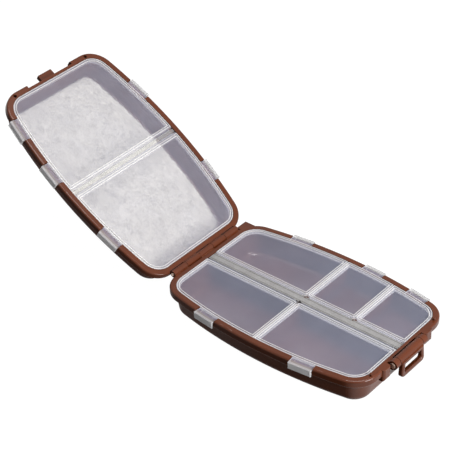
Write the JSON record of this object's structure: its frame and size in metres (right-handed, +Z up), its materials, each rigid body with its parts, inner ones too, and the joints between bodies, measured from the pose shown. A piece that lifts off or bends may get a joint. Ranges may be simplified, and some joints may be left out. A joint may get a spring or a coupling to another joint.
{
  "type": "tackle box",
  "caption": "Barrel-shaped pocket tackle box: compartments under small translucent lids, a fleece-lined lid half under doors, pinned end hinge and bail latch.",
  "frame": {"origin": "centre of the base's flat underside", "axes": "+X along the box from the main hinge to the latch, +Y across it towards the row with more compartments, +Z up out of the open base"},
  "size_m": [0.2883, 0.1028, 0.1027],
  "materials": {
    "brown_plastic": "satin",
    "translucent_plastic": "satin",
    "fleece": "matte",
    "adhesive_film": "matte",
    "pin_steel": "satin"
  },
  "bodies": {
    "base": {"base_shell": "brown_plastic", "divider_frame": "brown_plastic", "base_spine": "translucent_plastic", "hinge_pin": "pin_steel", "latch_pin": "pin_steel"},
    "lid": {"lid_shell": "brown_plastic", "lid_crossbar": "translucent_plastic", "fleece_pad": "fleece", "fleece_backing": "adhesive_film"},
    "lid_far_large": {"lid_far_large": "translucent_plastic"},
    "lid_far_middle": {"lid_far_middle": "translucent_plastic"},
    "lid_far_end": {"lid_far_end": "translucent_plastic"},
    "lid_near_hinge": {"lid_near_hinge": "translucent_plastic"},
    "lid_near_latch": {"lid_near_latch": "translucent_plastic"},
    "door_inner": {"door_inner": "translucent_plastic"},
    "door_outer": {"door_outer": "translucent_plastic"},
    "latch_bail": {"latch_bail": "brown_plastic"}
  },
  "joints": [
    {"name": "main_hinge", "type": "hinge", "parent": "base", "child": "lid", "pos_m": [-0.0764, 0, 0.02015], "axis": [0, -1, 0], "range_deg": [-146.7, 33.3]},
    {"name": "lid_far_large_hinge", "type": "hinge", "parent": "base", "child": "lid_far_large", "pos_m": [0, 0.0036, 0.0189], "axis": [1, 0, 0], "range_deg": [0, 90]},
    {"name": "lid_far_middle_hinge", "type": "hinge", "parent": "base", "child": "lid_far_middle", "pos_m": [0, 0.0036, 0.0189], "axis": [1, 0, 0], "range_deg": [0, 90]},
    {"name": "lid_far_end_hinge", "type": "hinge", "parent": "base", "child": "lid_far_end", "pos_m": [0, 0.0036, 0.0189], "axis": [1, 0, 0], "range_deg": [0, 90]},
    {"name": "lid_near_hinge_hinge", "type": "hinge", "parent": "base", "child": "lid_near_hinge", "pos_m": [0, -0.0036, 0.0189], "axis": [-1, 0, 0], "range_deg": [0, 90]},
    {"name": "lid_near_latch_hinge", "type": "hinge", "parent": "base", "child": "lid_near_latch", "pos_m": [0, -0.0036, 0.0189], "axis": [-1, 0, 0], "range_deg": [0, 90]},
    {"name": "door_inner_hinge", "type": "hinge", "parent": "lid", "child": "door_inner", "pos_m": [-0.13935, 0, 0.06001], "axis": [0, -1, 0], "range_deg": [0, 90]},
    {"name": "door_outer_hinge", "type": "hinge", "parent": "lid", "child": "door_outer", "pos_m": [-0.14253, 0, 0.06209], "axis": [0, 1, 0], "range_deg": [0, 90]},
    {"name": "bail_pivot", "type": "hinge", "parent": "base", "child": "latch_bail", "pos_m": [0.0762, 0, 0.0185], "axis": [0, 1, 0], "range_deg": [-150, 25]}
  ]
}
